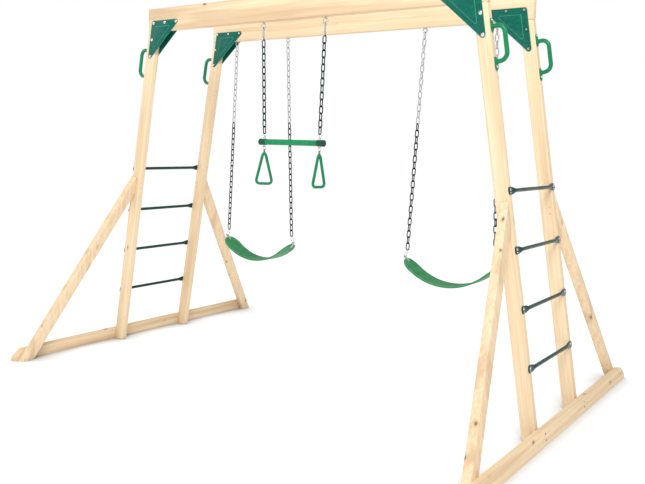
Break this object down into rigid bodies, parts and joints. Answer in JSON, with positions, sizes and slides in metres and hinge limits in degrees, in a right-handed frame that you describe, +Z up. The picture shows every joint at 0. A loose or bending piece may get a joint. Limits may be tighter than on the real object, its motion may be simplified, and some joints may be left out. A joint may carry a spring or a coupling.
{
  "type": "swing set",
  "caption": "Timber swing set with splayed ladder ends, two belt swings on chains, and a trapeze bar with hanging hand rings.",
  "frame": {"origin": "on the ground, under the middle of the frame", "axes": "+X along the beams, +Z up, the trapeze beam is on the -Y side"},
  "size_m": [3.2478, 2.26, 2.29],
  "materials": {
    "pine": "planed, matt",
    "green_plate": "deep green powder coat",
    "rung_green": "very dark green powder coat",
    "bright_steel": "bright zinc plated",
    "dark_steel": "dark plated",
    "grip_green": "glossy moulded green",
    "zinc": "zinc plated",
    "chain_coat": "soft dark green coat",
    "seat_green": "fine texture",
    "bar_green": "smooth green coat",
    "cap_green": "darker green cap",
    "brass": "dull"
  },
  "bodies": {
    "frame": {"front_beam": "pine", "rear_beam": "pine", "front_left_leg": "pine", "front_right_leg": "pine", "rear_left_leg": "pine", "rear_right_leg": "pine", "left_base_board": "pine", "right_base_board": "pine", "front_left_brace": "pine", "front_right_brace": "pine", "rear_left_brace": "pine", "rear_right_brace": "pine", "front_left_plates": "green_plate", "front_right_plates": "green_plate", "rear_left_plates": "green_plate", "rear_right_plates": "green_plate", "corner_bolts": "bright_steel", "corner_nuts": "bright_steel", "left_rung_1": "rung_green", "left_rung_2": "rung_green", "left_rung_3": "rung_green", "left_rung_4": "rung_green", "right_rung_1": "rung_green", "right_rung_2": "rung_green", "right_rung_3": "rung_green", "right_rung_4": "rung_green", "rung_bolts": "bright_steel", "rung_screws": "dark_steel", "front_left_grip": "grip_green", "front_right_grip": "grip_green", "rear_left_grip": "grip_green", "rear_right_grip": "grip_green", "grip_screws": "bright_steel", "frame_screws": "dark_steel", "swing_hangers": "zinc", "trapeze_hangers": "zinc"},
    "left_swing": {"left_bare_chains": "zinc", "left_coated_chains": "chain_coat"},
    "right_swing": {"right_bare_chains": "zinc", "right_coated_chains": "chain_coat"},
    "left_seat": {"left_seat_belt": "seat_green", "left_seat_rings": "bright_steel", "left_seat_tabs": "zinc", "left_seat_rivets": "bright_steel"},
    "right_seat": {"right_seat_belt": "seat_green", "right_seat_rings": "bright_steel", "right_seat_tabs": "zinc", "right_seat_rivets": "bright_steel"},
    "trapeze": {"trapeze_rods": "zinc", "trapeze_chains": "chain_coat", "trapeze_rings": "bright_steel"},
    "bar": {"trapeze_bar": "bar_green", "bar_end_caps": "cap_green", "bar_staples": "bright_steel"},
    "left_link": {"left_bar_ring": "bright_steel", "left_swivel": "brass"},
    "right_link": {"right_bar_ring": "bright_steel", "right_swivel": "brass"},
    "left_ring": {"left_hand_ring": "grip_green"},
    "right_ring": {"right_hand_ring": "grip_green"}
  },
  "joints": [
    {"name": "left_swing_hangers", "type": "hinge", "parent": "frame", "child": "left_swing", "pos_m": [-0.755, 0.3075, 2.1145], "axis": [1, 0, 0], "range_deg": [-60, 60]},
    {"name": "right_swing_hangers", "type": "hinge", "parent": "frame", "child": "right_swing", "pos_m": [0.755, 0.3075, 2.1145], "axis": [1, 0, 0], "range_deg": [-60, 60]},
    {"name": "left_seat_tilt", "type": "hinge", "parent": "left_swing", "child": "left_seat", "pos_m": [-0.755, 0.3075, 0.79027], "axis": [1, 0, 0], "range_deg": [-40, 40]},
    {"name": "right_seat_tilt", "type": "hinge", "parent": "right_swing", "child": "right_seat", "pos_m": [0.755, 0.3075, 0.79027], "axis": [1, 0, 0], "range_deg": [-40, 40]},
    {"name": "trapeze_hangers_swing", "type": "hinge", "parent": "frame", "child": "trapeze", "pos_m": [0, -0.3075, 2.1075], "axis": [1, 0, 0], "range_deg": [-60, 60]},
    {"name": "bar_turn", "type": "hinge", "parent": "trapeze", "child": "bar", "pos_m": [0, -0.3075, 1.47291], "axis": [1, 0, 0], "range_deg": [-50, 50]},
    {"name": "left_link_swing", "type": "hinge", "parent": "bar", "child": "left_link", "pos_m": [-0.205, -0.3075, 1.41172], "axis": [1, 0, 0], "range_deg": [-50, 50]},
    {"name": "right_link_swing", "type": "hinge", "parent": "bar", "child": "right_link", "pos_m": [0.205, -0.3075, 1.41172], "axis": [1, 0, 0], "range_deg": [-50, 50]},
    {"name": "left_ring_swivel", "type": "hinge", "parent": "left_link", "child": "left_ring", "pos_m": [-0.205, -0.3075, 1.37982], "axis": [0, 0, 1], "continuous": true},
    {"name": "right_ring_swivel", "type": "hinge", "parent": "right_link", "child": "right_ring", "pos_m": [0.205, -0.3075, 1.37982], "axis": [0, 0, 1], "continuous": true}
  ]
}
